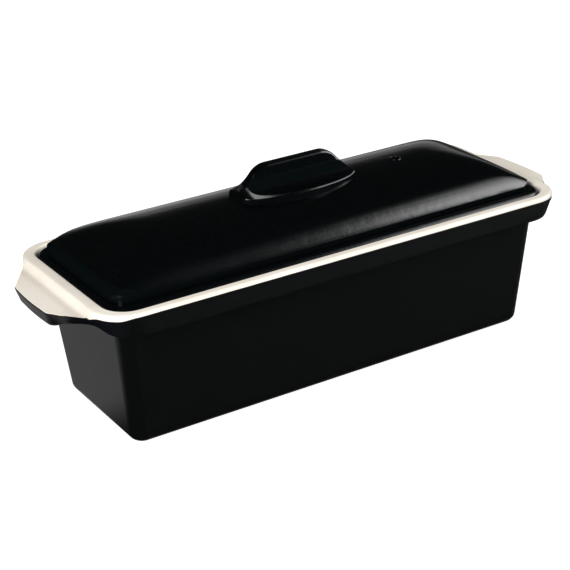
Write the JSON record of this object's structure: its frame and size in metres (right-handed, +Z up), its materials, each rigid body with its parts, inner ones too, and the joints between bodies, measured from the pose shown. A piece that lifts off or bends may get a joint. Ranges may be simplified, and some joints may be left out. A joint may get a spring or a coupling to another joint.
{
  "type": "terrine dish",
  "caption": "Long narrow enamelled cast-iron baking mould with end tabs and an arched, vented lid that has a cast-in fin grip.",
  "frame": {"origin": "middle of the flat base", "axes": "+X along the dish, -Y its front, +Z up"},
  "size_m": [0.3188, 0.1156, 0.1188],
  "materials": {
    "black_enamel": "satin black vitreous enamel over cast iron; the dish's rim, tab tops and inside are cream enamel"
  },
  "bodies": {
    "root": {"dish": "black_enamel", "lid": "black_enamel"}
  },
  "joints": []
}
